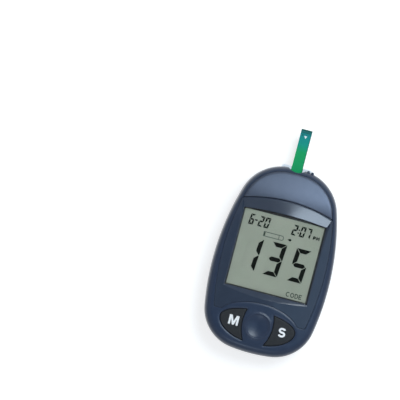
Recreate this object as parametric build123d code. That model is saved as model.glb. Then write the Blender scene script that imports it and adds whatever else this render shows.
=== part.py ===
from build123d import *
import os

# Blood glucose meter, millimetres. +Z points out of the display, +Y towards the strip port,
# +X to the right of someone who reads the display. z = 0 is the flat back of the case.

# --- case outline in plan
case_width = 58.0
case_length = 92.0
widest_y = -6.6            # the case is widest a little below its middle
side_radius = 130.0
bottom_radius = 76.0
bottom_corner = 20.0
top_radius = 70.0
top_corner = 21.5

# --- case in height
case_height = 21.0
parting_z = 10.0
wall = 1.8
rear_floor = 1.6
inner_step = 0.5           # the hollow of the rear half is this much smaller than the wall asks
inner_fillet = 1.8
lip_step = 0.7             # the same for the front half, behind the lip
rear_draft = 3.0
front_draft = 4.0
rear_edge_radius = 2.8
front_edge_radius = 3.4
lip_height = 0.8
lip_gap = 0.1
shut_chamfer = 0.2         # bevel of both halves at the parting line
crown_points = [(-50, 15.8), (-40, 18.1), (-31.5, 18.8), (-18, 19.05), (0, 19.25), (13, 19.5),
                (22, 20.25), (29, case_height), (36, 20.2), (50, 15.8)]
dome_radius = 300.0        # the top is also crowned from side to side
dome_half_turn = 8.0
below_case = -5.0

# --- top cap and display bezel
cap_inset = 2.6
cap_thickness = 1.4
brow_radius = 73.0
brow_y = 29.6              # crest of the brow on the centre line
panel_side_radius = 130.0
panel_half_width = 25.35
panel_widest_y = -0.9
panel_bottom_y = -28.0
panel_corner = 2.0
panel_seat_z = 17.2
shut_gap = 0.12
window_half_x = 20.35
window_low_y = -16.3
window_high_y = 21.85      # at the corners; the upper edge is an arc
window_crest_y = 23.05
window_edge_z = 18.1
slope_head = (3.7, 10.1, 9.63)      # run of the slopes at their far ends: aside, ahead, on the middle
slope_foot = (8.2, 12.2)
slope_high_z = 22.3
deck_low_y, deck_high_y, deck_under_z = -24.0, 30.5, 15.7
deck_opening_gap = 0.5
keypad_roof, cap_roof = 1.9, 1.6

# --- keypad
oval_y = -31.45
oval_a, oval_b = 19.9, 10.3
field_a, field_up, field_down = 18.7, 6.6, 9.7
bridge_radius, bridge_half, bridge_y = 19.4, 7.4, -31.25
dish_y = -32.15
dish_radius, dish_rim_radius, dish_depth = 6.0, 6.6, 1.3
dish_low_z, dish_rim_z = 17.2, 19.15
pocket_corner = 1.0
button_gap = 0.3
button_recess = 0.35
flange_low_z, flange_high_z, flange_lap = 14.5, 15.5, 1.0
button_centre = (12.0, -32.0)
pill_radius, pill_low_z, pill_high_z = 2.2, 13.1, 13.6

# --- circuit board and display stack
board_low_z, board_high_z = 10.8, 12.0
board_inset, board_high_y, board_screw_gap = 3.3, 41.0, 0.4
mat_high_z, mat_a, mat_b, mat_hole_radius, mat_screw_gap = 12.7, 20.6, 10.4, 4.6, 0.3
pad_radius, pad_thickness = 2.8, 0.05
stem_rim = 0.4             # the rubber stem is this much wider than its pill
web_foot_radius, web_head_radius, web_thickness = 5.4, 4.2, 0.6
glass_half_x, glass_low_y, glass_high_y = 21.5, -17.8, 24.1
glass_low_z, glass_step_z, glass_high_z, glass_ledge = 14.6, 15.5, 16.4, 1.6
lens_gap = 0.1
holder_half_x, holder_rim, holder_gap = 22.5, 0.9, 0.15
holder_open_x, holder_open_inset = 20.2, 0.1
zebra_half_x, zebra_width, zebra_inset = 19.5, 1.6, 0.2
chip_package = (-5.0, 5.0, -6.0, 4.0)        # x and y limits of the microcontroller
crystal_can = (-10.5, -7.3, -8.0, 0.0)
package_height, crystal_height, crystal_corner = 1.4, 2.4, 1.2
buzzer_place, buzzer_radius, buzzer_height = (17.0, -5.0), 4.6, 2.6
buzzer_hole_radius, buzzer_hole_depth = 1.0, 0.8
resistor_x, resistor_first_y, resistor_pitch, resistor_size = 7.4, -7.5, 2.4, (1.6, 0.8, 0.6)
row_first_x, row_pitch = -9.0, 4.5
port_row_y, port_row_size = 27.65, (1.6, 0.9, 0.7)
display_row_y, display_row_size = -11.3, (1.0, 2.0, 0.9)

# --- test strip, port and ejector
strip_x = -0.4
strip_width = 5.4
strip_thickness = 0.45
strip_low_z = 8.9
strip_inner_y = 32.45
strip_length = 33.0
strip_slot, strip_gap, strip_chamfer = 5.7, 0.15, 0.5
connector_half_x, connector_low_y, connector_high_y, connector_low_z = 6.0, 33.0, 41.0, 7.8
chamber_half_x, chamber_high_y, chamber_high_z = 2.3, 39.5, 10.3
finger_way_gap = 0.25
contact_pitch, contact_half_x = 0.9, 0.22
leaf_low_y, leaf_high_y, leaf_low_z, leaf_high_z = 33.4, 38.8, 10.05, 10.25
tip_low_y, tip_high_y, tip_low_z = 34.2, 34.8, 9.42
notch_depth_y = 44.1
notch_radius = 6.0
guide_half_x = 7.6
guide_back_y, guide_front_y = 41.2, 46.8
guide_low_z, guide_high_z, guide_corner = 7.4, 10.4, 1.5
guide_gap = 0.15
eject_travel = 8.0
slide_low_y, slide_length, slide_half_x = 16.5, 9.0, 5.5
slide_low_z, slide_high_z = 0.3, 0.8
rib_low_z, rib_high_z, rib_first, rib_pitch, rib_width = 0.05, 0.4, 1.1, 1.5, 0.8
well_depth, well_gap = 0.9, 0.3
bed_half_x, bed_low_y, bed_high_y, bed_high_z = 8.0, 14.5, 36.0, 2.6
stem_half_x, stem_low_y, stem_high_y, stem_low_z, stem_gap = 1.8, 18.0, 24.0, 0.6, 0.15
base_half_x, base_margin = 4.0, 0.5
column_half_x, column_low_y, column_high_y = 1.5, 19.0, 23.0
finger_length, finger_gap = 1.0, 0.05
arm_half_x, arm_low_z, arm_high_z, finger_high_z = 1.2, 6.3, 7.5, 9.3
base_low_z, base_high_z = 2.75, 3.75

# --- code chip, data jack
chip_y, chip_width, chip_low_z, chip_thickness = 12.0, 11.0, 4.6, 3.2
chip_outer_x, chip_inner_x = -28.6, -13.5
chip_face_inset, chip_gap = 0.3, 0.3
chip_groove_depth, chip_groove_pitch, chip_groove_width, chip_groove_length = 0.5, 3.0, 1.0, 3.0
chip_slot_pitch, chip_slot_width, chip_slot_length, chip_slot_depth = 2.5, 1.4, 3.5, 0.8
socket_outer_x, socket_low_z, socket_wall, socket_end = -20.0, 3.6, 1.3, 2.0
socket_gap, socket_end_gap = 0.2, 0.3
pin_width, pin_start, pin_end, pin_depth, pin_rise = 0.8, 2.9, 0.4, 0.55, 0.2
jack_y, jack_z, jack_bore_radius, jack_mouth_x = 8.0, 7.4, 1.28, 27.3
jack_bore_length = 10.0
jack_inner_x, jack_face_x, jack_half_y, jack_low_z = 15.2, 25.3, 3.0, 4.6
jack_nose_radius, jack_hole_radius = 2.1, 2.25

# --- battery
cell_radius, cell_thickness, cell_y, cell_low_z = 10.0, 3.2, -23.0, 1.9
door_half_x, door_low_y, door_high_y, door_thickness = 13.0, -37.0, -10.0, 1.5
door_gap = 0.1
frame_half_x, frame_low_y, frame_high_y, frame_high_z = 14.0, -34.3, -9.0, 6.4
bay_half_x, bay_low_y, bay_high_y = 12.4, -33.3, -11.0
scoop_radius, scoop_z, scoop_ahead = 3.6, -2.8, 1.5
catch_way_half_x, catch_way_low_y, catch_way_gap, catch_way_high_z = 3.2, -12.0, 0.6, 4.0
hook_x, hook_half_x, hook_root, hook_reach = 8.0, 2.0, 0.7, 1.6
door_root_z, hook_low_z, hook_high_z = 1.4, 1.75, 2.6
tongue_slot_x, tongue_slot_width, tongue_length = 3.4, 0.5, 4.5
catch_half_x, catch_depth, catch_reach, catch_high_z = 2.6, 0.9, 0.28, 2.5
door_groove_half_x, door_groove_width, door_groove_depth = 2.2, 0.5, 0.25
door_groove_first, door_groove_pitch = 1.6, 1.1
negative_leaf = [(-14.0, 10.6), (-10.0, 10.6), (-3.0, 5.7), (0.0, 5.33), (2.6, 5.8)]    # x and z
negative_width, leaf_thickness = 5.0, 0.35
positive_low_x, positive_high_x, positive_tab_x = 10.08, 10.45, 13.5
positive_half_y, positive_low_z = 3.0, 2.6
cap_edge, cap_rise = 1.1, 0.4

# --- rating label
label_thickness, label_corner = 0.2, 1.2
label_half_x, label_low_y, label_high_y, label_gap = 18.0, 4.0, 13.0, 0.1

# --- screws
screw_places = [(22.0, -27.0), (-22.0, -27.0), (16.5, 32.0), (-16.5, 32.0)]
screw_radius, screw_head_radius, screw_head_height, screw_tip_z = 1.0, 1.9, 1.3, 14.0
screw_fit, head_fit, pilot_high_z = 0.15, 0.2, 15.0
cross_length, cross_width, cross_depth = 2.2, 0.5, 0.6
head_pocket_depth = 2.0
boss_radius, pillar_radius, rest_radius, pillar_sink, boss_gap = 2.0, 3.0, 1.4, 0.5, 0.05
board_rests = [(24.2, -13.0), (-24.2, -13.0), (21.4, 24.0), (-21.4, 24.0)]


def block(x0, x1, y0, y1, z0, z1):
    """Box from its six limits."""
    return Pos((x0 + x1) / 2, (y0 + y1) / 2, (z0 + z1) / 2) * Box(x1 - x0, y1 - y0, z1 - z0)


def prism(sketch, z0, z1):
    """A plan sketch pulled up from z0 to z1."""
    return extrude(Pos(0, 0, z0) * sketch, z1 - z0)


def post(x, y, radius, z0, z1):
    """Upright cylinder."""
    return Pos(x, y, (z0 + z1) / 2) * Cylinder(radius, z1 - z0)


def half_plane(y0, y1):
    """Plan rectangle wider than the case, between two y values."""
    return Pos(0, (y0 + y1) / 2) * Rectangle(3 * case_width, y1 - y0)


def egg(inset):
    """Plan outline of the case moved inward by inset: four arcs with round corners."""
    side = side_radius - inset
    half = case_width / 2 - inset
    outline = Pos(half - side, widest_y) * Circle(side)
    outline &= Pos(side - half, widest_y) * Circle(side)
    outline &= Pos(0, bottom_radius - case_length / 2) * Circle(bottom_radius - inset)
    outline &= Pos(0, case_length / 2 - top_radius) * Circle(top_radius - inset)
    outline = fillet(outline.vertices().sort_by(Axis.Y)[:2], bottom_corner - inset)
    return fillet(outline.vertices().sort_by(Axis.Y)[-2:], top_corner - inset)


def under_crown(drop):
    """Everything below the domed top surface of the case, lowered by drop."""
    first, last = crown_points[0], crown_points[-1]
    crown = Spline([(y, z - drop) for y, z in crown_points])
    sides = Polyline((last[0], last[1] - drop), (last[0], below_case), (first[0], below_case),
                     (first[0], first[1] - drop))
    profile = Plane.YZ * make_face(crown + sides)
    dome_axis = Axis((0, 0, case_height - dome_radius), (0, 1, 0))
    return revolve(profile.rotate(dome_axis, -dome_half_turn), dome_axis, 2 * dome_half_turn)


def brow_region(shift):
    """Plan area below the brow line, which is an arc; shift moves the line up."""
    return Pos(0, brow_y - brow_radius) * Circle(brow_radius + shift)


def panel_area(grow):
    """Plan of the display bezel: curved sides, brow above, keypad oval cut out below."""
    side = panel_side_radius + grow
    offset = panel_half_width - panel_side_radius
    area = Pos(offset, panel_widest_y) * Circle(side) & Pos(-offset, panel_widest_y) * Circle(side)
    area &= brow_region(grow) & half_plane(panel_bottom_y - grow, case_length)
    area = fillet(area.vertices().sort_by(Axis.Y)[:2], panel_corner)
    return area - Pos(0, oval_y) * Ellipse(oval_a - grow, oval_b - grow)


def cap_area(shrink):
    """Plan of the top cap: the outline above the brow, with the strip notch."""
    notch = Pos(strip_x, notch_depth_y + notch_radius) * Circle(notch_radius + shrink)
    return (egg(cap_inset + shrink) & half_plane(0, case_length)) - brow_region(shrink) - notch


def button_area(side, grow):
    """Plan of one button pocket: half a flattened oval beside the centre bridge."""
    upper = Ellipse(field_a + grow, field_up + grow) & Pos(0, 10) * Rectangle(60, 20)
    lower = Ellipse(field_a + grow, field_down + grow) & Pos(0, -10) * Rectangle(60, 20)
    edge = bridge_radius - grow
    bridge = Pos(bridge_half - bridge_radius, bridge_y) * Circle(edge)
    bridge &= Pos(bridge_radius - bridge_half, bridge_y) * Circle(edge)
    area = Pos(0, oval_y) * (upper + lower) - bridge
    area &= Pos(side * 20, oval_y) * Rectangle(40, 40)
    corners = area.vertices().sort_by(lambda v: abs(v.X))[:2]
    return fillet(corners, pocket_corner)


def funnel():
    """Space over the window: four sloping sides that meet in mitres."""
    aside, ahead, middle = slope_head
    head_x, head_y = window_half_x + aside, window_high_y + ahead
    foot_x, foot_y = window_half_x + slope_foot[0], window_low_y - slope_foot[1]
    mouth = Polyline((-head_x, head_y), (-foot_x, foot_y), (foot_x, foot_y), (head_x, head_y))
    mouth += ThreePointArc((head_x, head_y), (0, window_crest_y + middle), (-head_x, head_y))
    return loft([Pos(0, 0, window_edge_z) * window_area(),
                 Pos(0, 0, slope_high_z) * make_face(mouth)], ruled=True)


def window_area():
    """Plan of the viewing window, with an arched upper edge."""
    edge = Polyline((-window_half_x, window_high_y), (-window_half_x, window_low_y),
                    (window_half_x, window_low_y), (window_half_x, window_high_y))
    edge += ThreePointArc((window_half_x, window_high_y), (0, window_crest_y),
                          (-window_half_x, window_high_y))
    return make_face(edge)


def front_master():
    """Outer solid of the upper half: drafted side, crowned top, rounded shoulder."""
    body = extrude(Pos(0, 0, parting_z) * egg(0), 15, taper=front_draft)
    body &= under_crown(0)
    top_edges = body.edges().filter_by(lambda e: e.center().Z > parting_z + 4)
    body = fillet(top_edges, front_edge_radius)
    return chamfer(body.faces().sort_by(Axis.Z)[0].edges(), shut_chamfer)


def front_cavity():
    """Hollow of the upper half, with a flat deck under the display and a lower roof at the cap."""
    keypad_bay = prism(half_plane(-case_length, deck_low_y), 0, 30) & under_crown(keypad_roof)
    display_bay = prism(half_plane(deck_low_y, deck_high_y), 0, deck_under_z)
    cap_bay = prism(half_plane(deck_high_y, case_length), 0, 30)
    cap_bay &= under_crown(cap_thickness + cap_roof)
    roof = keypad_bay + display_bay + cap_bay
    return prism(egg(wall + lip_step), parting_z, 25) & roof


def port_cut(z0, z1):
    """Opening in the end wall for the strip port guide."""
    half = guide_half_x + guide_gap
    return block(strip_x - half, strip_x + half, 40, 55, z0, z1)


def front_cover(master):
    """Upper half of the case: keypad surround, dish, seats for bezel and cap, screw bosses."""
    cover = master - front_cavity()
    for x, y in screw_places:
        cover += post(x, y, boss_radius, parting_z + boss_gap, 25) & under_crown(cap_thickness + head_fit)
    cover -= prism(panel_area(shut_gap), panel_seat_z, 30)
    cover -= prism(cap_area(-shut_gap), parting_z, 30) - under_crown(cap_thickness)
    deck_opening = Pos(0, (glass_low_y + glass_high_y) / 2) * Rectangle(
        2 * (glass_half_x + deck_opening_gap), glass_high_y - glass_low_y + 2 * deck_opening_gap)
    cover -= prism(deck_opening, parting_z, 30)
    cover += post(0, dish_y, dish_rim_radius, dish_low_z, dish_rim_z)
    bowl_radius = (dish_radius ** 2 + dish_depth ** 2) / (2 * dish_depth)
    cover -= Pos(0, dish_y, dish_rim_z - dish_depth + bowl_radius) * Sphere(bowl_radius)
    for side in (-1, 1):
        cover -= prism(button_area(side, 0), parting_z, 30)
    for x, y in screw_places:
        cover -= post(x, y, screw_radius - screw_fit, parting_z - 1, pilot_high_z)
    notch = Pos(strip_x, notch_depth_y + notch_radius) * Circle(notch_radius)
    cover -= prism(notch, parting_z - 1, 30)
    cover -= port_cut(parting_z - 1, guide_high_z + guide_gap)
    rabbet = prism(egg(wall - lip_height - lip_gap), parting_z - 1, parting_z + lip_height + lip_gap)
    return cover - (rabbet - prism(egg(wall + lip_step), parting_z - 1, 20))


def top_cap(master):
    """Satin cap over the strip end of the case, let into the front cover."""
    cap = master & prism(cap_area(0), parting_z, 30)
    return cap - under_crown(cap_thickness)


def display_bezel(master):
    """Gloss panel round the window, with a slope up to the brow."""
    panel = master & prism(panel_area(0), panel_seat_z, 30)
    return panel - funnel() - prism(window_area(), panel_seat_z - 1, 25)


def rear_cover():
    """Lower half of the case: floor, screw pillars, battery bay and ports."""
    shell = extrude(Pos(0, 0, parting_z) * egg(0), -parting_z, taper=rear_draft)
    shell = fillet(shell.faces().sort_by(Axis.Z)[0].edges(), rear_edge_radius)
    shell = chamfer(shell.faces().sort_by(Axis.Z)[-1].edges(), shut_chamfer)
    hollow = prism(egg(wall + inner_step), rear_floor, parting_z + 5)
    hollow = fillet(hollow.faces().sort_by(Axis.Z)[0].edges(), inner_fillet)
    shell -= hollow
    lip = prism(egg(wall - lip_height) - egg(wall), parting_z - 2, parting_z + lip_height)
    shell += lip & prism(egg(wall - lip_height), parting_z - 2, 20)
    for x, y in screw_places:
        shell += post(x, y, pillar_radius, rear_floor - pillar_sink, parting_z)
    for x, y in board_rests:
        shell += post(x, y, rest_radius, rear_floor - pillar_sink, board_low_z)
    shell += ejector_bed()
    shell += battery_frame()
    for x, y in screw_places:
        shell -= post(x, y, screw_radius + screw_fit, -1, parting_z + 1)
        shell -= post(x, y, screw_head_radius + head_fit, -1, head_pocket_depth)
    shell -= ejector_well()
    shell -= door_opening()
    shell -= label_area(label_gap, -1, label_thickness)
    shell -= port_cut(guide_low_z - guide_gap, 20)
    chip_way = chip_width / 2 + chip_gap
    shell -= block(-40, chip_inner_x, chip_y - chip_way, chip_y + chip_way,
                   chip_low_z - chip_gap, chip_low_z + chip_thickness + chip_gap)
    jack_way = Rot(0, 90, 0) * Cylinder(jack_hole_radius, 12)
    return shell - Pos(case_width / 2, jack_y, jack_z) * jack_way


def ejector_bed():
    """Thicker floor inside the case that backs the ejector's well."""
    return block(-bed_half_x, bed_half_x, bed_low_y, bed_high_y, rear_floor - pillar_sink, bed_high_z)


def ejector_well():
    """Shallow well for the thumb slide and the slot for its stem."""
    well = block(-slide_half_x - well_gap, slide_half_x + well_gap, slide_low_y - well_gap,
                 slide_low_y + slide_length + eject_travel + well_gap, -1, well_depth)
    slot = block(-stem_half_x - stem_gap, stem_half_x + stem_gap, stem_low_y - stem_gap,
                 stem_high_y + eject_travel + stem_gap, -1, 5)
    return well + slot


def ejector_slider():
    """Thumb slide with grip ribs and a stem through the slot."""
    slide = block(-slide_half_x, slide_half_x, slide_low_y, slide_low_y + slide_length,
                  slide_low_z, slide_high_z)
    for number in range(5):
        y = slide_low_y + rib_first + rib_pitch * number
        slide += block(-slide_half_x + rib_width, slide_half_x - rib_width, y, y + rib_width,
                       rib_low_z, rib_high_z)
    return slide + block(-stem_half_x, stem_half_x, stem_low_y, stem_high_y, stem_low_z, base_low_z)


def ejector_pusher():
    """Inner arm that is carried by the stem and ends in a finger behind the strip."""
    base = block(-base_half_x, base_half_x, stem_low_y - base_margin, stem_high_y + base_margin,
                 base_low_z, base_high_z)
    column = block(-column_half_x, column_half_x, column_low_y, column_high_y, base_high_z, arm_high_z)
    high_y = strip_inner_y - finger_gap
    left, right = strip_x - arm_half_x, strip_x + arm_half_x
    arm = block(left, right, column_low_y, high_y, arm_low_z, arm_high_z)
    finger = block(left, right, high_y - finger_length, high_y, arm_high_z, finger_high_z)
    return base + column + arm + finger


def test_strip():
    """Flat strip, bevelled at the end that goes in."""
    strip = block(strip_x - strip_width / 2, strip_x + strip_width / 2, strip_inner_y,
                  strip_inner_y + strip_length, strip_low_z, strip_low_z + strip_thickness)
    return chamfer(strip.edges().filter_by(Axis.Z).sort_by(Axis.Y)[:2], strip_chamfer)


def strip_port_guide():
    """White channel that leads the strip in; its front face stands just proud of the case."""
    guide = block(strip_x - guide_half_x, strip_x + guide_half_x, guide_back_y, guide_front_y,
                  guide_low_z, guide_high_z)
    guide = fillet(guide.edges().filter_by(Axis.Z).sort_by(Axis.Y)[-2:], guide_corner)
    half = strip_slot / 2
    return guide - block(strip_x - half, strip_x + half, 40, 50, strip_low_z - strip_gap, 12)


def strip_connector():
    """Socket soldered under the board, open below for the ejector's finger."""
    half = strip_slot / 2
    body = block(strip_x - connector_half_x, strip_x + connector_half_x, connector_low_y,
                 connector_high_y, connector_low_z, board_low_z)
    slot_high_z = strip_low_z + strip_thickness + strip_gap
    body -= block(strip_x - half, strip_x + half, 30, 45, strip_low_z - strip_gap, slot_high_z)
    body -= block(strip_x - chamber_half_x, strip_x + chamber_half_x, 30, chamber_high_y,
                  slot_high_z - strip_gap, chamber_high_z)
    finger_way = arm_half_x + finger_way_gap
    return body - block(strip_x - finger_way, strip_x + finger_way, 30, 45, 7, strip_low_z)


def strip_contacts():
    """Five spring fingers over the strip's inner end."""
    leaves = []
    for number in range(-2, 3):
        low_x = strip_x + contact_pitch * number - contact_half_x
        high_x = low_x + 2 * contact_half_x
        leaf = block(low_x, high_x, leaf_low_y, leaf_high_y, leaf_low_z, leaf_high_z)
        leaves.append(leaf + block(low_x, high_x, tip_low_y, tip_high_y, tip_low_z, leaf_low_z))
    return Compound(children=[leaf.solid() for leaf in leaves])


# --- code chip, its socket, data jack

def code_chip():
    """Plug-in chip whose ribbed end sits flush in the left side."""
    low_y, high_y = chip_y - chip_width / 2, chip_y + chip_width / 2
    high_z = chip_low_z + chip_thickness
    chip = block(chip_outer_x, chip_inner_x, low_y, high_y, chip_low_z, high_z)
    chip &= prism(egg(chip_face_inset), 0, case_height)
    groove_floor = prism(egg(chip_face_inset + chip_groove_depth), 0, case_height)
    for number in range(3):
        y = chip_y + chip_groove_pitch * (number - 1)
        groove = block(chip_outer_x - 1, chip_outer_x + chip_groove_length,
                       y - chip_groove_width / 2, y + chip_groove_width / 2, 0, 20)
        chip -= groove - groove_floor
    for y in chip_slot_places():
        chip -= block(chip_inner_x - chip_slot_length, chip_inner_x + 1, y - chip_slot_width / 2,
                      y + chip_slot_width / 2, high_z - chip_slot_depth, 20)
    return chip


def chip_slot_places():
    """Where the chip's four slots and the socket's pins lie along the case."""
    return [chip_y + chip_slot_pitch * (number - 1.5) for number in range(4)]


def code_chip_socket():
    """Socket under the board that takes the chip's inner half."""
    low_y, high_y = chip_y - chip_width / 2, chip_y + chip_width / 2
    body = block(socket_outer_x, chip_inner_x + socket_end, low_y - socket_wall,
                 high_y + socket_wall, socket_low_z, board_low_z)
    return body - block(socket_outer_x - 1, chip_inner_x + socket_end_gap, low_y - socket_gap,
                        high_y + socket_gap, chip_low_z - socket_gap,
                        chip_low_z + chip_thickness + socket_gap)


def code_chip_pins():
    """Four spring pins that reach into the chip's slots."""
    high_z = chip_low_z + chip_thickness
    pins = [block(chip_inner_x - pin_start, chip_inner_x - pin_end, y - pin_width / 2,
                  y + pin_width / 2, high_z - pin_depth, high_z + pin_rise)
            for y in chip_slot_places()]
    return Compound(children=[pin.solid() for pin in pins])


def data_jack():
    """Round 2.5 mm jack for a data cable, facing out of the right side."""
    body = block(jack_inner_x, jack_face_x, jack_y - jack_half_y, jack_y + jack_half_y,
                 jack_low_z, board_low_z)
    nose_length = jack_mouth_x - jack_face_x
    nose = Rot(0, 90, 0) * Cylinder(jack_nose_radius, nose_length)
    body += Pos(jack_face_x + nose_length / 2, jack_y, jack_z) * nose
    bore = Rot(0, 90, 0) * Cylinder(jack_bore_radius, jack_bore_length)
    return body - Pos(jack_mouth_x - jack_bore_length / 2, jack_y, jack_z) * bore


# --- battery bay

def door_opening():
    """Hole in the floor for the battery door, with a finger scoop at its latch."""
    hole = block(-door_half_x - door_gap, door_half_x + door_gap, door_low_y - door_gap,
                 door_high_y + door_gap, -1, rear_floor)
    scoop = Pos(0, door_high_y + scoop_ahead, scoop_z) * Sphere(scoop_radius)
    catch_way = block(-catch_way_half_x, catch_way_half_x, catch_way_low_y,
                      door_high_y + catch_way_gap, rear_floor, catch_way_high_z)
    return hole + scoop + catch_way


def battery_frame():
    """Walls round the coin cell; their lower rim is the ledge that the door closes on."""
    frame = block(-frame_half_x, frame_half_x, frame_low_y, frame_high_y, rear_floor, frame_high_z)
    return frame - block(-bay_half_x, bay_half_x, bay_low_y, bay_high_y, 0, frame_high_z + 1)


def battery_cover():
    """Flush door with two hooks at its lower edge and a springy latch tongue at its upper edge."""
    door = block(-door_half_x, door_half_x, door_low_y, door_high_y, 0, door_thickness)
    for side in (-1, 1):
        left, right = side * hook_x - hook_half_x, side * hook_x + hook_half_x
        door += block(left, right, door_low_y + door_gap, door_low_y + hook_root, door_root_z,
                      hook_high_z)
        door += block(left, right, door_low_y - hook_reach, door_low_y + hook_root, hook_low_z,
                      hook_high_z)
        slot_x = side * tongue_slot_x - tongue_slot_width / 2
        door -= block(slot_x, slot_x + tongue_slot_width, door_high_y - tongue_length,
                      door_high_y + 1, -1, 3)
    door += block(-catch_half_x, catch_half_x, door_high_y - catch_depth, door_high_y, door_root_z,
                  catch_high_z)
    door += block(-catch_half_x, catch_half_x, door_high_y - catch_depth, door_high_y + catch_reach,
                  hook_low_z, catch_high_z)
    for number in range(3):
        y = door_high_y - door_groove_first - door_groove_pitch * number
        door -= block(-door_groove_half_x, door_groove_half_x, y - door_groove_width / 2,
                      y + door_groove_width / 2, -1, door_groove_depth)
    return door


def coin_cell():
    """20 mm lithium cell: a can with a slightly smaller cap above it."""
    high_z = cell_low_z + cell_thickness
    can = post(0, cell_y, cell_radius, cell_low_z, high_z - cap_rise)
    return can + post(0, cell_y, cell_radius - cap_edge, cell_low_z, high_z)


def battery_contact_negative():
    """Leaf spring from the board down to the middle of the cell's cap."""
    outline = offset(Polyline(negative_leaf), leaf_thickness / 2, side=Side.BOTH)
    leaf = extrude(Plane.XZ * make_face(outline), negative_width / 2, both=True)
    return Pos(0, cell_y, 0) * leaf


def battery_contact_positive():
    """Upright leaf that bears on the side of the can."""
    low_y, high_y = cell_y - positive_half_y, cell_y + positive_half_y
    leaf = block(positive_low_x, positive_high_x, low_y, high_y, positive_low_z, board_low_z)
    return leaf + block(positive_low_x, positive_tab_x, low_y, high_y, board_low_z - leaf_thickness,
                        board_low_z)


# --- display stack

def display_window():
    """Clear lens under the bezel."""
    middle = (glass_low_y + glass_high_y) / 2
    lens = Pos(0, middle) * Rectangle(2 * glass_half_x, glass_high_y - glass_low_y)
    return prism(lens, glass_high_z + lens_gap, panel_seat_z)


def lcd_panel():
    """Liquid crystal cell; its lower glass is longer than its upper glass."""
    low = block(-glass_half_x, glass_half_x, glass_low_y, glass_high_y, glass_low_z, glass_step_z)
    return low + block(-glass_half_x, glass_half_x, glass_low_y + glass_ledge,
                       glass_high_y - glass_ledge, glass_step_z, glass_high_z)


def lcd_holder():
    """Frame that stands on the board and carries the glass."""
    outer = block(-holder_half_x, holder_half_x, glass_low_y - holder_rim,
                  glass_high_y + holder_rim, board_high_z, glass_step_z)
    outer -= block(-glass_half_x - holder_gap, glass_half_x + holder_gap, glass_low_y - holder_gap,
                   glass_high_y + holder_gap, glass_low_z, 20)
    return outer - block(-holder_open_x, holder_open_x, glass_low_y + holder_open_inset,
                         glass_high_y - holder_open_inset, 10, 20)


def zebra_connectors():
    """Two conductive rubber bars between board and glass."""
    bars = []
    for y in (glass_low_y + zebra_inset, glass_high_y - zebra_inset - zebra_width):
        bars.append(block(-zebra_half_x, zebra_half_x, y, y + zebra_width, board_high_z, glass_low_z))
    return Compound(children=[bar.solid() for bar in bars])


# --- circuit board and what is soldered to it

def circuit_board():
    """Board that fills the case at the parting line, notched round the screw bosses."""
    plan = egg(board_inset) & half_plane(-case_length, board_high_y)
    board = prism(plan, board_low_z, board_high_z)
    for x, y in screw_places:
        board -= post(x, y, boss_radius + board_screw_gap, 5, 20)
    return board


def microcontroller():
    """Square chip package under the board."""
    return block(*chip_package, board_low_z - package_height, board_low_z)


def crystal():
    """Metal can of the clock crystal."""
    can = block(*crystal_can, board_low_z - crystal_height, board_low_z)
    return fillet(can.edges().filter_by(Axis.Z), crystal_corner)


def buzzer():
    """Round sounder under the board."""
    low_z = board_low_z - buzzer_height
    can = post(*buzzer_place, buzzer_radius, low_z, board_low_z)
    return can - post(*buzzer_place, buzzer_hole_radius, low_z - 1, low_z + buzzer_hole_depth)


def small_part(x, y, size):
    """Chip resistor or capacitor on the underside of the board, centred at x, y."""
    length, width, height = size
    return Pos(x, y, board_low_z - height / 2) * Box(length, width, height)


def board_components():
    """Small chip resistors and capacitors, in rows beside the microcontroller and the port."""
    pieces = [small_part(resistor_x, resistor_first_y + resistor_pitch * number, resistor_size)
              for number in range(6)]
    for number in range(5):
        x = row_first_x + row_pitch * number
        pieces.append(small_part(x, port_row_y, port_row_size))
        pieces.append(small_part(x, display_row_y, display_row_size))
    return Compound(children=[piece.solid() for piece in pieces])


def key_contact_pads():
    """Carbon pads on the board, one under each button."""
    pads = [post(side * button_centre[0], button_centre[1], pad_radius, board_high_z,
                 board_high_z + pad_thickness) for side in (-1, 1)]
    return Compound(children=[pad.solid() for pad in pads])


# --- keypad

def keypad_mat():
    """Rubber sheet on the board with a hole under each button."""
    plan = Pos(0, oval_y) * Ellipse(mat_a, mat_b)
    for side in (-1, 1):
        plan -= Pos(side * button_centre[0], button_centre[1]) * Circle(mat_hole_radius)
    for x, y in screw_places:
        plan -= Pos(x, y) * Circle(boss_radius + mat_screw_gap)
    return prism(plan, board_high_z, mat_high_z)


def button(side):
    """Rubber key: a top that fills its pocket, a retaining flange and a short stem."""
    key = prism(button_area(side, -button_gap), flange_low_z, 25) & under_crown(button_recess)
    key += prism(button_area(side, flange_lap), flange_low_z, flange_high_z)
    x, y = side * button_centre[0], button_centre[1]
    return key + post(x, y, pill_radius + stem_rim, pill_high_z, flange_low_z)


def contact_pill(side):
    """Conductive pill at the end of the key's stem."""
    return post(side * button_centre[0], button_centre[1], pill_radius, pill_low_z, pill_high_z)


def key_web(side):
    """Thin rubber cone that carries the key on the mat and folds when the key goes down."""
    height = flange_low_z - mat_high_z
    middle = (flange_low_z + mat_high_z) / 2
    cone = Cone(web_foot_radius, web_head_radius, height)
    cone -= Cone(web_foot_radius - web_thickness, web_head_radius - web_thickness, height)
    return Pos(side * button_centre[0], button_centre[1], middle) * cone


# --- fasteners and label

def label_area(grow, z0, z1):
    """Rounded rectangle of the rating label."""
    plan = Pos(0, (label_low_y + label_high_y) / 2) * RectangleRounded(
        2 * (label_half_x + grow), label_high_y - label_low_y + 2 * grow, label_corner)
    return prism(plan, z0, z1)


def rear_label():
    """Bare label let into the back, flush with it."""
    return label_area(0, 0, label_thickness)


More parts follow.
